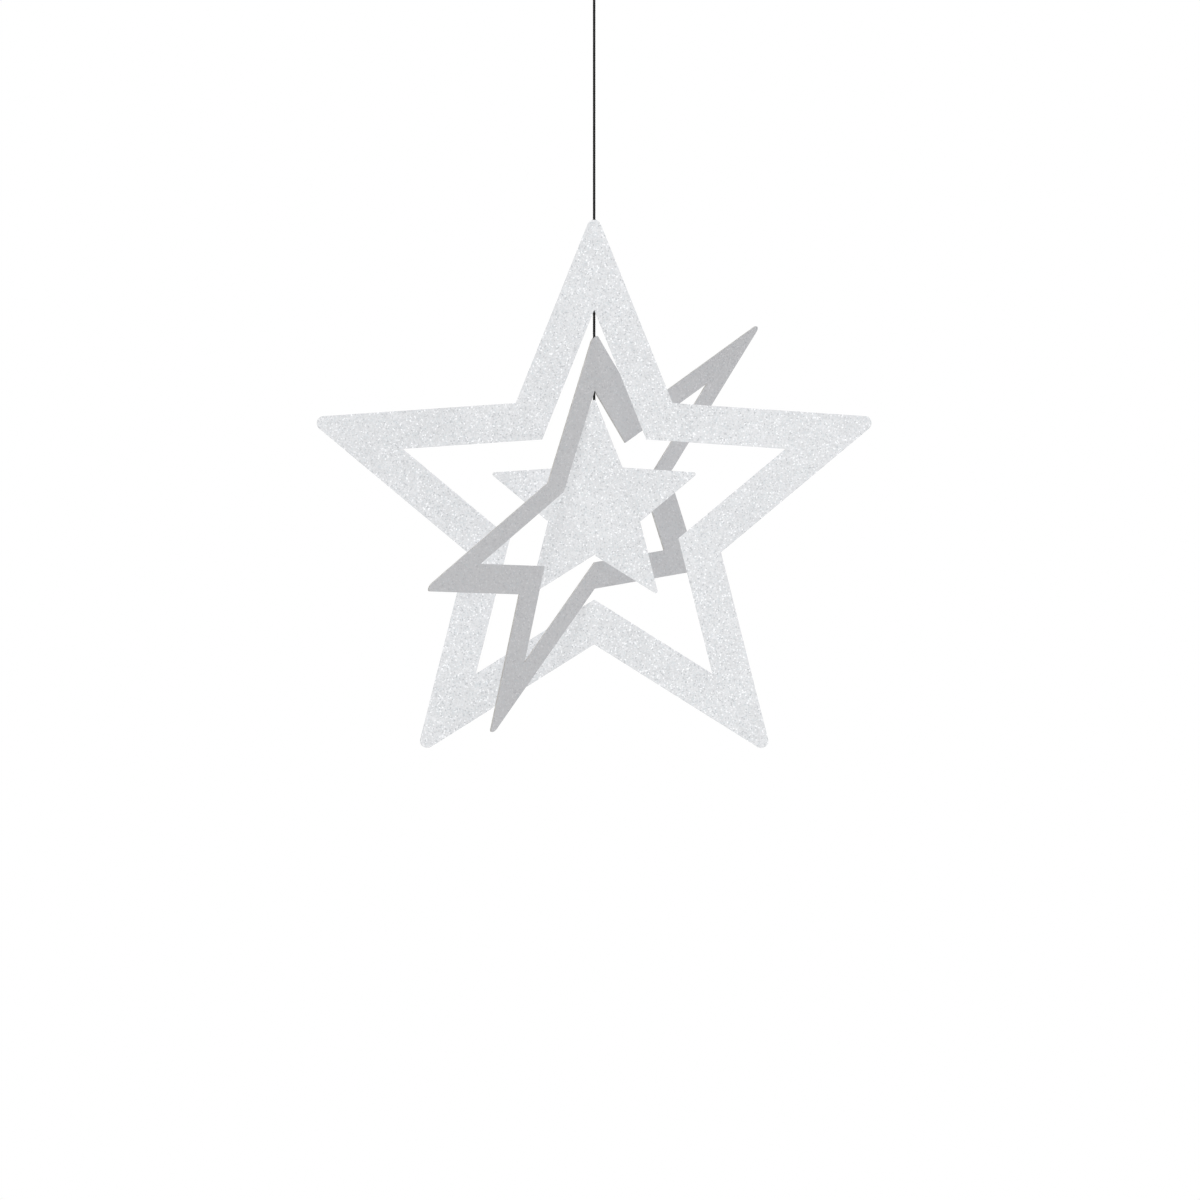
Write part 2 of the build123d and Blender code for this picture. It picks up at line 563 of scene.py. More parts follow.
def new_piece(
    name: str, vertices: np.ndarray, faces: Faces, finish: Finish, sharp_degrees: float = 35.0
) -> Piece:
    """Makes a mesh piece from points in millimetres.

    Args:
        name: The piece's name.
        vertices: One row of x, y and z for each vertex, in the part's frame.
        faces: Vertex numbers of each face, anticlockwise seen from outside.
        finish: What it is made of.
        sharp_degrees: Edges that turn more than this stay sharp.

    Returns:
        The new object, linked to the scene.
    """
    mesh = bpy.data.meshes.new(name)
    mesh.from_pydata((vertices * MM).tolist(), [], faces)
    mesh.materials.append(finish.material())
    mesh.shade_smooth()
    mesh.set_sharp_from_angle(angle=math.radians(sharp_degrees))
    piece = bpy.data.objects.new(name, mesh)
    bpy.context.scene.collection.objects.link(piece)
    return piece


def settle(piece: Piece, body: str, slot: str, *nodes: str) -> Piece:
    """Lets a piece ride on its body and stand for its nodes.

    Args:
        piece: The finished piece.
        body: The body that carries it.
        slot: Not used.
        nodes: The plain solids that it stands for, if any.

    Returns:
        The same piece.
    """
    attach(piece, body)
    if nodes:
        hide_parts(*nodes)
    LOG.info("%s rides on %s, %d faces", piece.name, body, len(piece.data.polygons))
    return piece


def turned(places: np.ndarray, degrees: float) -> np.ndarray:
    """Turns points about the cord.

    Args:
        places: Rows of x, y and z.
        degrees: How far, with the left side coming forwards.

    Returns:
        The turned points.
    """
    cosine = math.cos(math.radians(degrees))
    sine = math.sin(math.radians(degrees))
    x, y, z = places.T
    return np.stack([cosine * x - sine * y, sine * x + cosine * y, z], 1)


def unit(vectors: np.ndarray) -> np.ndarray:
    """The same directions, each 1 long."""
    return vectors / np.maximum(np.linalg.norm(vectors, axis=-1, keepdims=True), 1e-12)


def inside(points: np.ndarray, loop: np.ndarray) -> np.ndarray:
    """Says which points lie in a closed outline.

    Args:
        points: Rows of x and z.
        loop: The outline's corners in order.

    Returns:
        One truth value for each point.
    """
    found = np.zeros(len(points), bool)
    for (ax, az), (bx, bz) in zip(loop, np.roll(loop, -1, axis=0)):
        crosses = (az > points[:, 1]) != (bz > points[:, 1])
        rise = bz - az if bz != az else 1.0
        found ^= crosses & (points[:, 0] < ax + (bx - ax) * (points[:, 1] - az) / rise)
    return found


def clearance(points: np.ndarray, loop: np.ndarray) -> np.ndarray:
    """Gives each point's distance to the nearest edge of a closed outline.

    Args:
        points: Rows of x and z.
        loop: The outline's corners in order.

    Returns:
        One distance for each point.
    """
    nearest = np.full(len(points), np.inf)
    for a, b in zip(loop, np.roll(loop, -1, axis=0)):
        run = b - a
        share = np.clip((points - a) @ run / max(run @ run, 1e-12), 0, 1)
        nearest = np.minimum(nearest, np.linalg.norm(points - a - share[:, None] * run, axis=1))
    return nearest


def divided(loop: np.ndarray, longest: float) -> np.ndarray:
    """Adds points on a closed outline's sides.

    Args:
        loop: The outline's corners in order.
        longest: The most that a side may measure afterwards.

    Returns:
        The outline with the points that it needed.
    """
    pieces = []
    for a, b in zip(loop, np.roll(loop, -1, axis=0)):
        parts = max(1, math.ceil(np.linalg.norm(b - a) / longest))
        pieces.append(a + (b - a) * (np.arange(parts) / parts)[:, None])
    return np.concatenate(pieces)


@dataclass(frozen=True)
class StarShape:
    """The flat shape of one star, drawn about its centre, in x and z.

    Attributes:
        radius: To the sharp tips, before they are rounded.
        tip_round: Rounding radius of the tips.
        band: Width of the frame round the opening, or 0 for a solid star.
        stretch: Widens the whole star.
        rake: Slides it upwards for each millimetre across.
    """

    radius: float
    tip_round: float
    band: float = 0.0
    stretch: float = 1.0
    rake: float = 0.0

    @property
    def tip_height(self) -> float:
        """Height of the rounded top tip above the centre."""
        return self.radius - RETREAT * self.tip_round

    @property
    def slot_top(self) -> float:
        """Height of the cord slot's top, clear of a raked star's higher shoulder."""
        return self.tip_height + self.rake * SLOT_W / 2

    @property
    def opening_radius(self) -> float:
        """Radius of the opening's corners."""
        return self.radius - self.band / math.sin(TIP_HALF)

    @property
    def cord_leaves(self) -> float:
        """Height above the centre where the cord is clear of the opening's top corner.

        Returns:
            The height at which the opening is as wide as the slot.
        """
        notch_x = NOTCH_SHARE * math.sin(STEP) * self.stretch
        fall = 1 - NOTCH_SHARE * math.cos(STEP) + self.rake * notch_x
        return self.opening_radius - SLOT_W / 2 * fall / notch_x

    def nested(self, upper_gap: float, lower_gap: float, tip_round: float, **form: float) -> "StarShape":
        """Makes the shape of a star that hangs in this one's opening.

        Args:
            upper_gap: From the opening's top corner to the tip below it.
            lower_gap: Left free below the hanging star.
            tip_round: Rounding of its tips.
            form: Its band, stretch and rake, if it has them.

        Returns:
            The shape.
        """
        height = self.opening_radius * (1 + NOTCH_SHARE) - upper_gap - lower_gap
        radius = (height + RETREAT * tip_round) / (1 + NOTCH_SHARE)
        return StarShape(radius, tip_round, **form)

    def outline(self, radius: float, tip_round: float, arc_steps: int = 8) -> np.ndarray:
        """Draws a closed outline.

        Args:
            radius: To its sharp tips.
            tip_round: Rounding radius of its tips, or 0 for sharp ones.
            arc_steps: Straight steps in each round tip.

        Returns:
            Rows of x and z, anticlockwise seen from the front.
        """
        side = radius * math.sin(STEP) * NOTCH_SHARE / math.sin(TIP_HALF)
        share = tip_round / math.tan(TIP_HALF) / side
        steps = np.linspace(0, 1, arc_steps + 1)[:, None] if tip_round else np.zeros((1, 1))
        first = (1 - steps) ** 2
        second = 2 * math.sin(TIP_HALF) * steps * (1 - steps)
        third = steps**2
        runs = []
        for arm in range(ARMS):
            angle = math.pi / 2 + 2 * STEP * arm
            before = self.point(NOTCH_SHARE * radius, angle - STEP)
            tip = self.point(radius, angle)
            after = self.point(NOTCH_SHARE * radius, angle + STEP)
            start = tip + (before - tip) * share
            end = tip + (after - tip) * share
            runs.append(before[None])
            runs.append((first * start + second * tip + third * end) / (first + second + third))
        return np.concatenate(runs)

    def point(self, radius: float, angle: float) -> np.ndarray:
        """A point of the plain star, stretched and raked."""
        across = self.stretch * radius * math.cos(angle)
        return np.array((across, radius * math.sin(angle) + self.rake * across))

    def loops(self) -> list[np.ndarray]:
        """Draws the outline, and the opening's if the star has one.

        Returns:
            One or two closed outlines, the outside first.
        """
        made = [self.outline(self.radius, self.tip_round)]
        if self.band:
            made.append(self.outline(self.opening_radius, 0))
        return made

    def covers(self, points: np.ndarray, margin: float = 0.0) -> np.ndarray:
        """Says which points lie on the card.

        Args:
            points: Rows of x and z.
            margin: How far they also have to be from its edges.

        Returns:
            One truth value for each point.
        """
        loops = self.loops()
        on_card = inside(points, loops[0])
        for opening in loops[1:]:
            on_card &= ~inside(points, opening)
        if margin:
            for loop in loops:
                on_card &= clearance(points, loop) > margin
        return on_card


@dataclass(frozen=True)
class FlakeCoat:
    """The flakes on one star's papers, each a thin hexagonal plate of its own.

    Attributes:
        finish: Their film.
        seed: For their places.
        per_cm2: Flakes to a square centimetre.
        width: Of the smallest and the largest. The real ones are too small to show, so these are
            drawn coarser.
        thickness: Of each.
        sink: How deep they stand in the lacquer.
        tilt: Degrees that the steepest one leans.
        stray: How far each strays from an even grid, as a share of its step.
        edge: How far they keep from the card's edges, as a share of the largest width.
        shade_curve: Below 1, it makes flakes with a painted glint commoner than those with painted
            shade.
        sides: Corners of each.
        cell_share: How much of its cell on the map a flake's radius takes.
        rim: How far in its sides reach on the map, as a share of the radius.
    """

    finish: FilmFlakes
    seed: int
    per_cm2: float = 24.0
    width: tuple[float, float] = (0.66, 0.96)
    thickness: float = 0.07
    sink: float = 0.03
    tilt: float = 11.0
    stray: float = 0.48
    edge: float = 0.6
    shade_curve: float = 0.7
    sides: int = 6
    cell_share: float = 0.4
    rim: float = 0.9

    def build(self, star: "PaperStar", side: Side) -> Piece:
        """Strews flakes over one face of a star.

        Args:
            star: The star.
            side: Which face.

        Returns:
            All its flakes as one piece.
        """
        random = np.random.default_rng(self.seed * 2 + (side is Side.BACK))
        spots = self.spots(star.shape, random)
        count = len(spots)
        turn = random.uniform(0, 2 * math.pi / self.sides, count)
        lean_way = random.uniform(0, 2 * math.pi, count)
        lean = np.tan(np.radians(random.uniform(0, self.tilt, count)))
        width = random.uniform(*self.width, count)
        # Each flake's painted reflection, from painted shade at 0 to a painted glint at 1
        shade = random.uniform(0, 1, count) ** self.shade_curve

        corner = turn[:, None] + np.arange(self.sides) * 2 * math.pi / self.sides
        rise = lean[:, None] * np.cos(corner - lean_way[:, None]) * width[:, None] / 2
        round_spot = np.stack([np.cos(corner), np.sin(corner)], 2) * width[:, None, None] / 2
        flat = (spots[:, None] + round_spot).reshape(-1, 2)
        base = star.raised(flat, 0.0).reshape(count, self.sides, 3)
        layers = []
        for height in (-self.sink, self.thickness - self.sink):
            layer = base.copy()
            layer[:, :, 1] += side.value * (CORE_T / 2 + PAPER_T + height + rise)
            layers.append(layer)
        places = turned(np.concatenate(layers, 1).reshape(-1, 3), star.turn)
        faces = self.faces(count, flipped=side is Side.BACK)
        piece = new_piece(f"{star.name}_{side.name.lower()}_flakes", places, faces, self.finish)
        values = piece.data.attributes.new(self.finish.attribute, "FLOAT", "FACE")
        values.data.foreach_set("value", np.repeat(shade, len(faces) // count))
        self.lay_out(piece.data, count)
        return piece

    def spots(self, shape: StarShape, random: np.random.Generator) -> np.ndarray:
        """Finds the flakes' middles.

        Args:
            shape: The star's flat shape.
            random: Where they stray by.

        Returns:
            Rows of x and z.
        """
        step = 10 / math.sqrt(self.per_cm2)
        outline = shape.loops()[0]
        bounds = zip(outline.min(0), outline.max(0))
        across, up = np.meshgrid(*(np.arange(low - step, high + step, step) for low, high in bounds))
        spots = np.stack([across.ravel(), up.ravel()], 1)
        spots += random.uniform(-self.stray, self.stray, spots.shape) * step
        return spots[shape.covers(spots, self.width[1] * self.edge)]

    def faces(self, count: int, flipped: bool) -> Faces:
        """Faces of many prisms whose vertices lie one prism after another, inner ring first.

        Args:
            count: How many prisms.
            flipped: Whether to turn every face over.

        Returns:
            For each prism its two ends and then its sides.
        """
        sides = self.sides
        one = [tuple(reversed(range(sides))), tuple(range(sides, 2 * sides))]
        for i in range(sides):
            j = (i + 1) % sides
            one.append((i, j, sides + j, sides + i))
        if flipped:
            one = [tuple(reversed(face)) for face in one]
        return [tuple(v + p * 2 * sides for v in face) for p in range(count) for face in one]

    def lay_out(self, mesh: bpy.types.Mesh, count: int) -> None:
        """Gives each flake its own cell of a square grid on a map, so that its shade stays its own.

        Args:
            mesh: The flakes' mesh.
            count: How many flakes.
        """
        corners = [2 * math.pi * i / self.sides for i in range(self.sides)]
        pattern = [(math.cos(a), math.sin(a)) for a in corners] * 2
        for here, there in zip(corners, corners[1:] + corners[:1]):
            strip = ((here, self.rim), (there, self.rim), (there, 1), (here, 1))
            pattern += [(math.cos(a) * r, math.sin(a) * r) for a, r in strip]
        cells = math.ceil(math.sqrt(count))
        flake = np.repeat(np.arange(count), len(pattern))
        centre = np.stack([flake % cells, flake // cells], 1) + 0.5
        offsets = np.tile(np.array(pattern), (count, 1)) * self.cell_share
        layer = mesh.uv_layers.new(name="OFBake")
        layer.uv.foreach_set("vector", ((centre + offsets) / cells).astype(np.float32).ravel())


@dataclass(frozen=True)
class PaperStar:
    """One hanging star: a board between two glitter papers, with flakes standing on them.

    Attributes:
        name: The star's name, which its nodes and its body share.
        shape: Its flat shape.
        tip_z: Height of its top tip.
        paper: Finish of its papers.
        flakes: The flakes on its papers.
        turn: Degrees about the cord, with the left side coming forwards.
        wave: How far the tips of its side arms curl out of flat.
        curl: Where the curl starts and how much it changes over the star's height.
        grip: Length of cord glued into a solid star.
        grid: Spacing of the points that fill a sheet.
        grid_edge: How far they keep from its edges, as a share of the spacing.
        cut_softening: How far a paper's cut edges are rounded over.
        board_recess: How far the board's edge stands back from the papers'.
    """

    name: str
    shape: StarShape
    tip_z: float
    paper: GlitterPaper
    flakes: FlakeCoat
    turn: float = 0.0
    wave: float = 0.3
    curl: tuple[float, float] = (1.1, 2.2)
    grip: float = 16.0
    grid: float = 4.0
    grid_edge: float = 0.45
    cut_softening: float = 0.06
    board_recess: float = 0.04

    @property
    def centre_z(self) -> float:
        """Height of its centre."""
        return self.tip_z - self.shape.tip_height

    @property
    def apex_z(self) -> float:
        """Height of its opening's top corner."""
        return self.centre_z + self.shape.opening_radius

    @property
    def slot_low_z(self) -> float:
        """Height of the slot's bottom: where the cord leaves the card, or ends in it."""
        return self.centre_z + self.shape.cord_leaves if self.shape.band else self.tip_z - self.grip

    @property
    def slot_top_z(self) -> float:
        """Height where the cord enters the card."""
        return self.centre_z + self.shape.slot_top

    def build(self) -> None:
        """Builds all of the star's pieces."""
        body = f"{self.name}_star"
        half = CORE_T / 2
        core = self.slab(-half, half, recess=self.board_recess, slotted=True)
        piece = new_piece(f"{self.name}_board", *core, BOARD)
        settle(piece, body, "board", f"{self.name}_core")
        for side in Side:
            word = side.name.lower()
            low, high = sorted((side.value * half, side.value * (half + PAPER_T)))
            sheet = self.slab(low, high, soften=self.cut_softening)
            piece = new_piece(f"{self.name}_{word}_glitter_paper", *sheet, self.paper)
            settle(piece, body, self.paper.name, f"{self.name}_{word}_paper")
            settle(self.flakes.build(self, side), body, self.paper.name)

    def slab(
        self, low: float, high: float, soften: float = 0.0, recess: float = 0.0, slotted: bool = False
    ) -> Mesh:
        """Makes a closed sheet of the star's shape.

        Args:
            low: Depth of its front face from the card's middle.
            high: Depth of its back face.
            soften: How far its cut edges are rounded over.
            recess: How far its edge stands back from the outline.
            slotted: Whether the cord's slot is cut out of it.

        Returns:
            Its vertices in the part's frame, and its faces.
        """
        flat, triangles = self.triangulated(slotted)
        rim, ring, inward = rim_of(flat, triangles)
        cut = flat.copy()
        cut[ring] += recess * inward
        eased = cut.copy()
        eased[ring] += soften * inward
        levels = [(eased, low), (cut[ring], low + soften), (cut[ring], high - soften), (eased, high)]
        places = np.concatenate([self.raised(points, depth) for points, depth in levels])
        starts = [0]
        for points, _ in levels:
            starts.append(starts[-1] + len(points))
        seat = {vertex: number for number, vertex in enumerate(ring)}
        faces: Faces = list(triangles)
        faces += [tuple(starts[3] + v for v in reversed(t)) for t in triangles]
        for a, b in rim:
            rows = [(a, b)]
            rows += [(starts[level] + seat[a], starts[level] + seat[b]) for level in (1, 2)]
            rows.append((starts[3] + a, starts[3] + b))
            for (front_a, front_b), (back_a, back_b) in zip(rows, rows[1:]):
                faces.append((front_a, back_a, back_b, front_b))
        return turned(places, self.turn), faces

    def triangulated(self, slotted: bool) -> tuple[np.ndarray, list[tuple[int, int, int]]]:
        """Fills the star's shape with triangles.

        Args:
            slotted: Whether the cord's slot is left out.

        Returns:
            Points in x and z, and anticlockwise triangles.
        """
        loops = [divided(loop, self.grid) for loop in self.shape.loops()]
        if slotted:
            loops.append(divided(self.slot_outline(), self.grid))
        bounds = zip(loops[0].min(0), loops[0].max(0))
        mesh_x, mesh_z = np.meshgrid(*(np.arange(low, high, self.grid) for low, high in bounds))
        mesh_x = mesh_x + self.grid / 2 * (np.arange(len(mesh_x)) % 2)[:, None]
        filling = np.stack([mesh_x.ravel(), mesh_z.ravel()], 1)
        margin = self.grid * self.grid_edge
        keep = self.shape.covers(filling, margin)
        if slotted:
            keep &= clearance(filling, loops[-1]) > margin
            keep &= ~inside(filling, loops[-1])
        points = np.concatenate([*loops, filling[keep]])
        edges = []
        first = 0
        for loop in loops:
            edges += [(first + i, first + (i + 1) % len(loop)) for i in range(len(loop))]
            first += len(loop)
        made = delaunay_2d_cdt([Vector(p) for p in points], edges, [], 0, 1e-5)
        flat = np.array([tuple(v) for v in made[0]])
        corners = np.array(made[2])
        middles = flat[corners].mean(1)
        keep = self.shape.covers(middles)
        if slotted:
            keep &= ~inside(middles, loops[-1])
        corners = corners[keep]
        a, b, c = (flat[corners[:, i]] for i in range(3))
        spin = (b - a)[:, 0] * (c - a)[:, 1] - (b - a)[:, 1] * (c - a)[:, 0]
        corners[spin < 0] = corners[spin < 0][:, ::-1]
        used, renumbered = np.unique(corners, return_inverse=True)
        triangles = [tuple(int(v) for v in t) for t in renumbered.reshape(-1, 3)]
        return flat[used], triangles

    def slot_outline(self) -> np.ndarray:
        """Draws the cord's slot, past the tip's end.

        Returns:
            Its corners in x and z about the star's centre.
        """
        bottom = self.slot_low_z - self.centre_z
        top = self.shape.radius
        half = SLOT_W / 2
        return np.array([(half, bottom), (half, top), (-half, top), (-half, bottom)])

    def raised(self, flat: np.ndarray, depth: float) -> np.ndarray:
        """Sets flat points at a depth, with the card's slight curl, and at the star's height.

        Args:
            flat: Rows of x and z about the star's centre.
            depth: From the card's middle.

        Returns:
            Rows of x, y and z, before the star is turned.
        """
        x, z = flat.T
        start, change = self.curl
        curl = self.wave * (np.abs(x) / self.shape.radius) ** 3
        curl = curl * np.sin(start + change * z / self.shape.radius + np.sign(x))
        return np.stack([x, depth + curl, z + self.centre_z], 1)


def rim_of(
    flat: np.ndarray, triangles: list[tuple[int, int, int]]
) -> tuple[list[tuple[int, int]], list[int], np.ndarray]:
    """Finds a triangulated shape's border.

    Args:
        flat: The points in x and z.
        triangles: Anticlockwise triangles.

    Returns:
        Its border edges, with the card on their left; its border vertices; and for each of those
        the step that moves it in by 1 from both its edges.
    """
    directed = {edge for t in triangles for edge in zip(t, (*t[1:], t[0]))}
    rim = sorted((a, b) for a, b in directed if (b, a) not in directed)
    ring = sorted({a for a, _ in rim})
    normals: dict[int, list[np.ndarray]] = {vertex: [] for vertex in ring}
    for a, b in rim:
        run = flat[b] - flat[a]
        left = np.array((-run[1], run[0])) / max(np.linalg.norm(run), 1e-9)
        normals[a].append(left)
        normals[b].append(left)
    steps = [(n[0] + n[-1]) / max(1 + n[0] @ n[-1], 0.15) for n in normals.values()]
    return rim, ring, np.array(steps)


@dataclass(frozen=True)
class Braid:
    """How the cord is made: yarns plaited over and under each other round a core.

    Attributes:
        diameter: Of the whole cord, over its yarns, which bulge a little past its gauge.
        lay: Length in which a yarn goes once round.
        pairs: Yarns that go round each way.
        yarn_half_width: Half the width of a yarn, which lies flat.
        yarn_half_thickness: Half its thickness.
        weave: How far a yarn moves out and in as it crosses the others.
        sides: Corners round each yarn.
        step: Length between its rings.
    """

    diameter: float = CORD_D + 0.2
    lay: float = 4.8
    pairs: int = 4
    yarn_half_width: float = 0.27
    yarn_half_thickness: float = 0.13
    weave: float = 0.07
    sides: int = 6
    step: float = 0.16

    def plait(self, line: np.ndarray, turn: float = 0.0) -> Mesh:
        """Plaits the cord round a line.

        Args:
            line: Evenly spaced points.
            turn: Degrees that the cord is turned by afterwards, so that yarns meet at rest.

        Returns:
            Vertices and faces of the core and all the yarns.
        """
        across, beside = carried_axes(line)
        phase = 2 * math.pi * (run_along(line) - line[0, 2]) / self.lay
        middle = self.diameter / 2 - self.yarn_half_thickness - self.weave
        tubes = [self.tube(line, across, beside, middle, middle)]
        for way in (1, -1):
            reach = middle + way * self.weave * np.cos(self.pairs * phase)
            for yarn in range(self.pairs):
                angle = way * phase + 2 * math.pi * yarn / self.pairs - math.radians(turn)
                out = np.cos(angle)[:, None] * across + np.sin(angle)[:, None] * beside
                centres = line + reach[:, None] * out
                forward = unit(np.gradient(centres, axis=0))
                out = unit(out - (out * forward).sum(1, keepdims=True) * forward)
                side = np.cross(forward, out)
                thick = self.yarn_half_thickness
                tubes.append(self.tube(centres, out, side, thick, self.yarn_half_width))
        return joined(tubes)

    def tube(
        self, centres: np.ndarray, out: np.ndarray, side: np.ndarray, thick: float, wide: float
    ) -> Mesh:
        """Makes one closed tube.

        Args:
            centres: Its centreline.
            out: At each point, the way its thickness goes.
            side: At each point, the way its width goes.
            thick: Half its thickness.
            wide: Half its width.

        Returns:
            Its vertices and faces.
        """
        corner = np.arange(self.sides) * 2 * math.pi / self.sides
        ring = thick * np.cos(corner)[None, :, None] * out[:, None]
        ring = ring + wide * np.sin(corner)[None, :, None] * side[:, None]
        faces: Faces = []
        last = (len(centres) - 1) * self.sides
        for row in range(0, last, self.sides):
            for i in range(self.sides):
                j = (i + 1) % self.sides
                faces.append((row + i, row + j, row + self.sides + j, row + self.sides + i))
        faces.append(tuple(reversed(range(self.sides))))
        faces.append(tuple(range(last, last + self.sides)))
        return (centres[:, None] + ring).reshape(-1, 3), faces


BRAID = Braid()


def joined(meshes: Iterable[Mesh]) -> Mesh:
    """Joins meshes into one.

    Args:
        meshes: The vertices and faces of each.

    Returns:
        Those of the whole.
    """
    vertices = []
    faces: Faces = []
    start = 0
    for points, found in meshes:
        vertices.append(points)
        faces += [tuple(v + start for v in face) for face in found]
        start += len(points)
    return np.concatenate(vertices), faces


def run_along(line: np.ndarray) -> np.ndarray:
    """The length of a line up to each of its points."""
    return np.concatenate([[0], np.cumsum(np.linalg.norm(np.diff(line, axis=0), axis=1))])


def carried_axes(line: np.ndarray) -> tuple[np.ndarray, np.ndarray]:
    """Gives two ways across a line, with no twist from one point to the next.

    Args:
        line: Evenly spaced points.

    Returns:
        At each point, the two directions.
    """
    along = unit(np.gradient(line, axis=0))
    first = np.cross((0.0, 1.0, 0.0), along[0])
    if np.linalg.norm(first) < 0.1:
        first = np.cross((1.0, 0.0, 0.0), along[0])
    carried = [unit(first)]
    for direction in along[1:]:
        carried.append(unit(carried[-1] - (carried[-1] @ direction) * direction))
    across = np.array(carried)
    return across, np.cross(along, across)


def along_spline(route: Route) -> np.ndarray:
    """Reads points, a braid's step apart, from a smooth line through a route.

    Args:
        route: Control points.

    Returns:
        Rows of x, y and z.
    """
    curve = bpy.data.curves.new("route", "CURVE")
    curve.dimensions = "3D"
    curve.resolution_u = 24
    spline = curve.splines.new("NURBS")
    spline.points.add(len(route) - 1)
    for point, place in zip(spline.points, route):
        point.co = (*place, 1.0)
    spline.order_u = 3
    spline.use_endpoint_u = True
    holder = bpy.data.objects.new("route", curve)
    bpy.context.scene.collection.objects.link(holder)
    bpy.context.view_layer.update()
    mesh = bpy.data.meshes.new_from_object(holder)
    line = np.array([tuple(v.co) for v in mesh.vertices])
    bpy.data.objects.remove(holder)
    bpy.data.meshes.remove(mesh)
    bpy.data.curves.remove(curve)
    runs = run_along(line)
    wanted = np.linspace(0, runs[-1], max(2, round(runs[-1] / BRAID.step)) + 1)
    return np.stack([np.interp(wanted, runs, line[:, i]) for i in range(3)], 1)


def plumb(*heights: float) -> Route:
    """A route straight down the cord's line, by the heights of its points."""
    return tuple((0.0, 0.0, height) for height in heights)


@dataclass(frozen=True)
class BraidedCord:
    """A stretch of braided round cord.

    Attributes:
        name: The piece's name.
        node: The plain solid that it stands for.
        body: The body that carries it.
        route: Control points of its centreline.
        turn: Degrees about the cord's line, for a stretch that turns with its star.
        pressed: Heights between which it is pressed flat in a slot, if it is.
        easing: Length over which it goes from round to flat.
    """

    name: str
    node: str
    body: str
    route: Route
    turn: float = 0.0
    pressed: Optional[tuple[float, float]] = None
    easing: float = 1.4

    def build(self) -> Piece:
        """Builds the braid and settles it on its body.

        Returns:
            The finished piece.
        """
        vertices, faces = BRAID.plait(along_spline(self.route), self.turn)
        if self.pressed:
            vertices = self.press(vertices)
        piece = new_piece(self.name, turned(vertices, self.turn), faces, BLACK_YARN)
        return settle(piece, self.body, "cord", self.node)

    def press(self, vertices: np.ndarray) -> np.ndarray:
        """Flattens the cord to the slot's depth, easing in at each end of it.

        Args:
            vertices: The round cord's.

        Returns:
            The pressed cord's.
        """
        low, high = self.pressed
        into = np.minimum(high - vertices[:, 2], vertices[:, 2] - low) / self.easing + 0.5
        share = np.clip(into, 0, 1)
        share = share * share * (3 - 2 * share)
        made = vertices.copy()
        made[:, 0] *= 1 + share * (PRESSED_W / BRAID.diameter - 1)
        made[:, 1] *= 1 + share * (CORE_T / BRAID.diameter - 1)
        return made

    def declare(self, piece: Piece, **words: Any) -> None:
        """Works out the cord's centreline, and does nothing more with it.

        Args:
            piece: Not used.
        """
        line = along_spline(self.route)


@dataclass(frozen=True)
class LoopKnot:
    """The loop's knot, pulled tight: the cord wraps both legs, and its cut end stands out.

    Attributes:
        height: Of its middle.
        wrap_radius: Of the wraps' centreline.
        wraps: How many times the cord goes round.
        wrap_rise: From the lowest wrap to the highest.
        wrap_lean: How far the wraps rise for each millimetre across.
        points_per_turn: Control points in a wrap.
        tail_length: From the knot's middle to the cut end.
        tail_rise: Degrees that the end stands above level.
        above: Control points that lead into the wraps.
        below: Control points that lead out of them.
        under: Control points of the cord that comes out as the tail.
    """

    height: float = KNOT_Z
    wrap_radius: float = 1.32
    wraps: float = 2.3
    wrap_rise: float = 1.9
    wrap_lean: float = 0.35
    points_per_turn: int = 10
    tail_length: float = 6.0
    tail_rise: float = 15.0
    above: Route = ((0.65, 0.0, 2.6), (0.75, -0.2, 1.9))
    below: Route = ((0.5, 0.5, -1.2), (0.0, 0.0, -1.5), (0.0, 0.0, -2.05))
    under: Route = (
        (-0.65, 0.0, 2.6),
        (-0.6, 0.0, 1.4),
        (-0.2, 0.4, 0.2),
        (0.0, 2.2, 0.35),
        (0.1, 4.2, 1.2),
    )

    def build(self) -> Piece:
        """Builds the wraps and the tail as one piece.

        Returns:
            The finished piece.
        """
        routes = ((*self.above, *self.wrap(), *self.below), (*self.under, self.cut_end()))
        vertices, faces = joined(BRAID.plait(along_spline(route)) for route in routes)
        piece = new_piece("loop_knot_wraps", vertices + (0, 0, self.height), faces, BLACK_YARN)
        return settle(piece, "loop_knot", "cord", "loop_knot")

    def wrap(self) -> Route:
        """Works out the wraps' control points.

        Returns:
            A leaning helix about the knot's middle, from the top down.
        """
        count = round(self.wraps * self.points_per_turn)
        points = []
        for i in range(count + 1):
            angle = 2 * math.pi * i / self.points_per_turn
            across = self.wrap_radius * math.cos(angle)
            height = self.wrap_rise * (0.5 - i / count) + self.wrap_lean * across
            points.append((across, self.wrap_radius * math.sin(angle), height))
        return tuple(points)

    def cut_end(self) -> tuple[float, float, float]:
        """Where the cord's cut end is, from the knot's middle."""
        rise = math.radians(self.tail_rise)
        return (0.0, self.tail_length * math.cos(rise), self.tail_length * math.sin(rise))


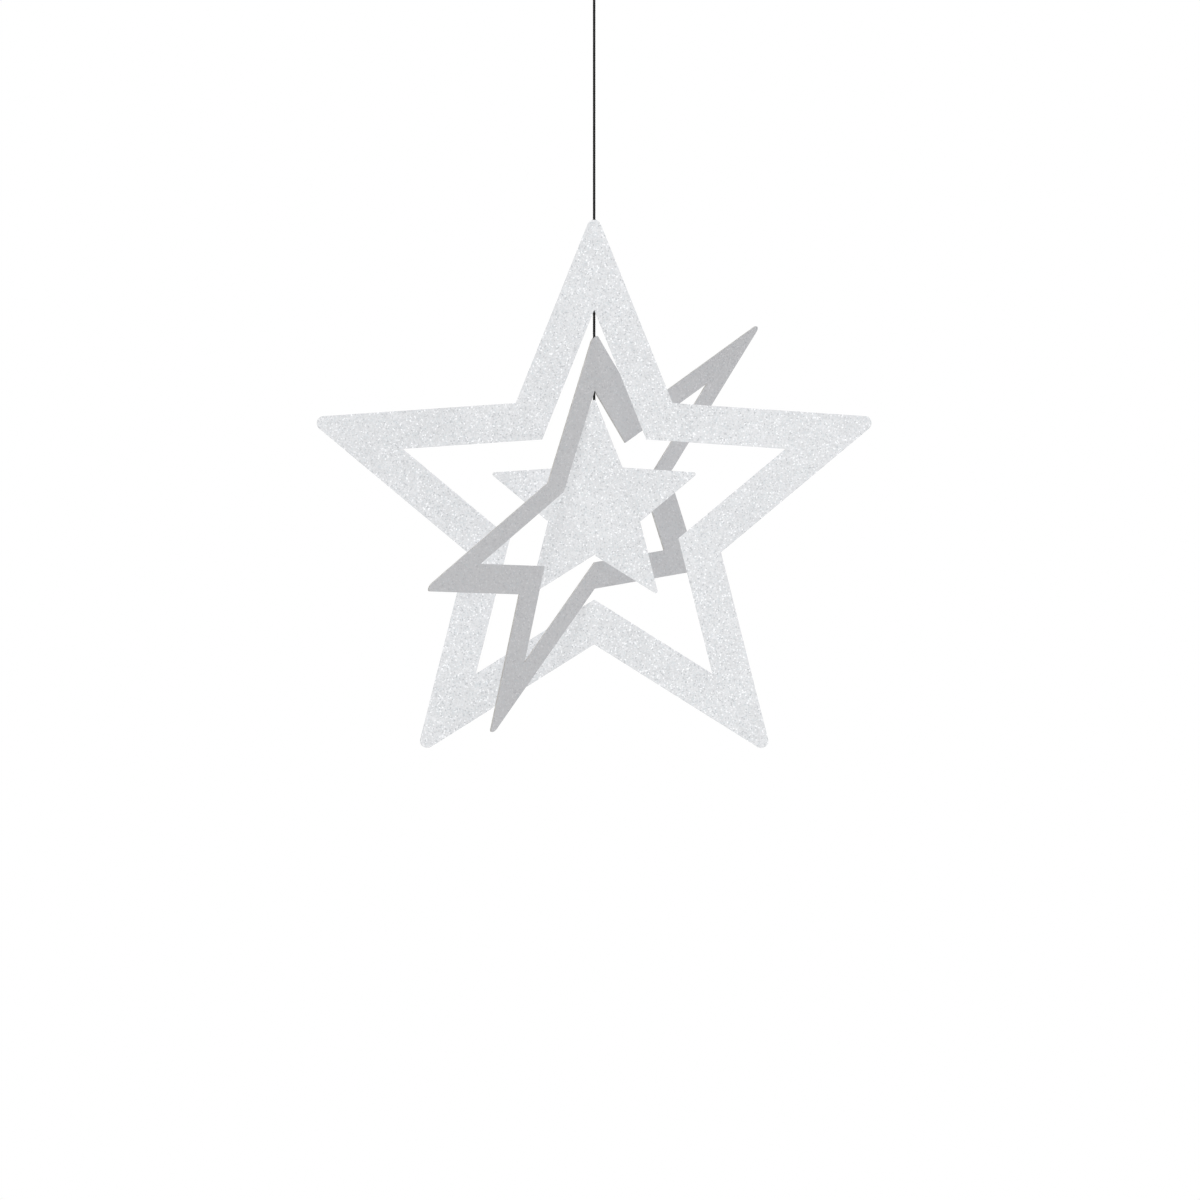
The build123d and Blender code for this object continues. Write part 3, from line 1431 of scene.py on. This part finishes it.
@dataclass(frozen=True)
class Softbox:
    """A square soft light that faces what the camera looks at.

    Attributes:
        name: Its name.
        azimuth: Degrees round the cord from the front, with the right side first.
        elevation: Degrees above level.
        watts: Its power.
        shadows: Whether it casts them. The fill lights don't, as wide diffusers wouldn't.
        size: Of its sides.
        distance: From what it lights.
    """

    name: str
    azimuth: float
    elevation: float
    watts: float
    shadows: bool = False
    size: float = 1600.0
    distance: float = 4500.0

    def build(self, aim: Vector) -> None:
        """Makes the light.

        Args:
            aim: What it faces, in millimetres.
        """
        data = bpy.data.lights.new(self.name, "AREA")
        data.shape = "SQUARE"
        data.size = self.size * MM
        data.energy = self.watts
        data.use_shadow = self.shadows
        round_cord = math.radians(self.azimuth)
        rise = math.radians(self.elevation)
        level = math.cos(rise)
        away = Vector((math.sin(round_cord) * level, -math.cos(round_cord) * level, math.sin(rise)))
        light = bpy.data.objects.new(self.name, data)
        light.location = (aim + away * self.distance) * MM
        light.rotation_euler = (-away).to_track_quat("-Z", "Y").to_euler()
        light.visible_camera = False
        bpy.context.scene.collection.objects.link(light)


@dataclass(frozen=True)
class Studio:
    """A pale studio: white all round, soft lights, and a floor well below the hanging star.

    Attributes:
        aim: What the camera looks straight at, in millimetres.
        across: Width of the view there.
        lens: Focal length.
        film: Width of the film.
        floor_z: Height of the floor.
        floor_radius: Of the floor.
        floor_rings: Rings of faces in it.
        floor_spokes: Faces in each ring.
        ambient: How much light the white gives, as a share of what it shows.
        lights: The soft lights.
    """

    aim: tuple[float, float, float]
    across: float = 605.4
    lens: float = 400.0
    film: float = 36.0
    floor_z: float = -1200.0
    floor_radius: float = 1500.0
    floor_rings: int = 12
    floor_spokes: int = 96
    ambient: float = 0.4
    lights: tuple[Softbox, ...] = (
        Softbox("right_front_light", azimuth=38, elevation=12, watts=104),
        Softbox("left_front_light", azimuth=-38, elevation=20, watts=54),
        Softbox("left_back_light", azimuth=218, elevation=12, watts=104),
        Softbox("right_back_light", azimuth=142, elevation=20, watts=54),
        Softbox("top_light", azimuth=0, elevation=62, watts=60, shadows=True),
    )

    def build(self) -> None:
        """Makes the camera, the world, the lights and the floor."""
        self.make_camera()
        self.make_world()
        for light in self.lights:
            light.build(Vector(self.aim))
        self.make_floor()

    def make_camera(self) -> None:
        """A level camera with a long lens, square on to the outer star."""
        data = bpy.data.cameras.new("camera")
        data.lens = self.lens
        data.sensor_width = self.film
        data.clip_end = 50.0
        camera = bpy.data.objects.new("camera", data)
        back = self.across * self.lens / self.film
        camera.location = Vector(self.aim) * MM - Vector((0, back * MM, 0))
        camera.rotation_euler = (math.pi / 2, 0, 0)
        bpy.context.scene.collection.objects.link(camera)
        bpy.context.scene.camera = camera

    def make_world(self) -> None:
        """Even white all round, which gives less light than it shows, so that the lamps model."""
        scene = bpy.context.scene
        scene.world = bpy.data.worlds.new("white_studio")
        scene.world.use_nodes = True
        tree = scene.world.node_tree
        tree.nodes.clear()
        light, white = (
            add_node(tree, "Background", inputs={"Strength": strength, "Color": (1, 1, 1, 1)})
            for strength in (self.ambient, 1.0)
        )
        path = add_node(tree, "LightPath")
        seen = add_node(
            tree,
            "MixShader",
            inputs={0: path.outputs["Is Camera Ray"], 1: light.outputs[0], 2: white.outputs[0]},
        )
        add_node(tree, "OutputWorld", inputs={"Surface": seen.outputs[0]})
        scene.view_settings.view_transform = "Standard"

    def make_floor(self) -> None:
        """A round floor under the star, which isn't part of it."""
        rings = self.floor_rings
        spokes = self.floor_spokes
        angle = np.arange(spokes) * 2 * math.pi / spokes
        circles = [
            np.stack([r * np.cos(angle), r * np.sin(angle), np.full(spokes, self.floor_z)], 1)
            for r in self.floor_radius * np.arange(1, rings + 1) / rings
        ]
        faces: Faces = [tuple(range(spokes))]
        for start in range(0, (rings - 1) * spokes, spokes):
            for i in range(spokes):
                j = (i + 1) % spokes
                faces.append((start + i, start + spokes + i, start + spokes + j, start + j))
        floor = new_piece("studio_floor", np.concatenate(circles), faces, FLOOR_PAINT)


@dataclass(frozen=True)
class Decoration:
    """The whole decoration: three stars, each sized to hang in the one outside it, and a cord.

    Attributes:
        outer_radius: To the outer star's sharp tips.
        outer_tip_round: Rounding radius of its tips.
        outer_band: Width of its frame.
        middle_upper_gap: From the outer opening's top corner to the middle star.
        middle_lower_gap: Left free below the middle star.
        middle_tip_round: Rounding radius of its tips.
        middle_band: Width of its frame.
        middle_stretch: How much wider it is cut than a regular star.
        middle_rake: How far it slides up for each millimetre across.
        middle_turn: Degrees that it hangs turned, with the left side forwards.
        inner_upper_gap: From the middle opening's top corner to the inner star.
        inner_lower_gap: Left free below the inner star.
        inner_tip_round: Rounding radius of its tips.
        right_leg: Control points of the loop's right leg, from the knot up.
        hook_top: Height of the loop's centreline over the hook.
        press_past: How far past its end the last stretch counts as pressed.
    """

    outer_radius: float = 153.0
    outer_tip_round: float = 3.6
    outer_band: float = 19.2
    middle_upper_gap: float = 13.7
    middle_lower_gap: float = 5.45
    middle_tip_round: float = 1.9
    middle_band: float = 11.25
    middle_stretch: float = 1.25
    middle_rake: float = 0.642
    middle_turn: float = 37.0
    inner_upper_gap: float = 4.75
    inner_lower_gap: float = 3.7
    inner_tip_round: float = 1.0
    right_leg: Route = (
        (0.65, 0.0, -23.3),
        (3.4, 0.0, -15.8),
        (5.28, 0.0, -10.76),
        (7.11, 0.0, -5.75),
        (4.95, 0.0, -0.88),
    )
    hook_top: float = 1.118
    press_past: float = 4.0

    @cached_property
    def outer(self) -> PaperStar:
        """The outer star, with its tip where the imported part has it."""
        shape = StarShape(self.outer_radius, self.outer_tip_round, band=self.outer_band)
        tip_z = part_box("outer_front_paper")[1].z / MM
        return PaperStar("outer", shape, tip_z, SILVER_PAPER, FlakeCoat(SILVER_FLAKES, 11), wave=0.6)

    @cached_property
    def middle(self) -> PaperStar:
        """The middle star, raked and turned, whose papers and flakes are the silver drawn darker:
        painted shade of its turn from the light.

        Returns:
            The star, hung in the outer one's opening.
        """
        return PaperStar(
            name="middle",
            shape=self.outer.shape.nested(
                self.middle_upper_gap,
                self.middle_lower_gap,
                self.middle_tip_round,
                band=self.middle_band,
                stretch=self.middle_stretch,
                rake=self.middle_rake,
            ),
            tip_z=self.outer.apex_z - self.middle_upper_gap,
            paper=SILVER_PAPER_PAINTED_SHADE,
            flakes=FlakeCoat(SILVER_FLAKES_PAINTED_SHADE, seed=23),
            turn=self.middle_turn,
            wave=0.15,
        )

    @cached_property
    def inner(self) -> PaperStar:
        """The inner star, which is solid.

        Returns:
            The star, hung in the middle one's opening.
        """
        return PaperStar(
            name="inner",
            shape=self.middle.shape.nested(
                self.inner_upper_gap, self.inner_lower_gap, self.inner_tip_round
            ),
            tip_z=self.middle.apex_z - self.inner_upper_gap,
            paper=SILVER_PAPER,
            flakes=FlakeCoat(SILVER_FLAKES, seed=37),
            wave=0.1,
        )

    def build_cords(self) -> None:
        """Builds the knot and then the cord's lengths, from the loop down to its glued end."""
        outer = self.outer
        middle = self.middle
        inner = self.inner
        outer_neck = outer.tip_z + NECK
        middle_neck = (outer.slot_low_z + middle.tip_z) / 2
        inner_neck = (middle.slot_low_z + inner.tip_z) / 2
        left_leg = tuple((-x, y, z) for x, y, z in reversed(self.right_leg))
        loop = BraidedCord(
            name="hanging_loop_braid",
            node="hanging_loop",
            body="hanging_loop",
            route=(*self.right_leg, (0.0, 0.0, self.hook_top), *left_leg),
        )
        hanging = BraidedCord(
            name="hanging_cord_braid",
            node="hanging_cord",
            body="hanging_cord",
            route=plumb(KNOT_Z - 2.1, -80.0, outer_neck + MEETING_GAP),
        )
        upper = BraidedCord(
            name="upper_link_braid",
            node="upper_link_cord",
            body="outer_star",
            route=plumb(outer_neck, -170.0, middle_neck + MEETING_GAP),
            pressed=(outer.slot_low_z, outer.slot_top_z),
        )
        lower = BraidedCord(
            name="lower_link_braid",
            node="lower_link_cord",
            body="middle_star",
            route=plumb(middle_neck, -215.0, inner_neck + MEETING_GAP),
            turn=middle.turn,
            pressed=(middle.slot_low_z, middle.slot_top_z),
        )
        end = BraidedCord(
            name="inner_cord_end_braid",
            node="inner_cord_end",
            body="inner_star",
            route=plumb(inner_neck, inner.tip_z - inner.grip / 2, inner.slot_low_z),
            pressed=(inner.slot_low_z - self.press_past, inner.slot_top_z),
        )
        knot_piece = LoopKnot().build()
        loop.declare(
            loop.build(), far_end="object", stiffness="limp", lay="taut", with_pieces=[knot_piece]
        )
        for length in (hanging, upper, lower):
            length.declare(length.build(), far_end="object", stiffness="limp", lay="taut")
        end.build()

    def build_stars(self) -> None:
        """Builds the stars, from the outer one in."""
        for star in (self.outer, self.middle, self.inner):
            star.build()


def main() -> None:
    """Builds the studio, the cords and the stars, in that order, and reports each piece."""
    logging.basicConfig(level=logging.INFO, format="%(message)s")
    decoration = Decoration()
    Studio(aim=(2.95, 0.0, decoration.outer.centre_z - 44.9)).build()
    decoration.build_cords()
    decoration.build_stars()


if __name__ == "__main__":
    main()
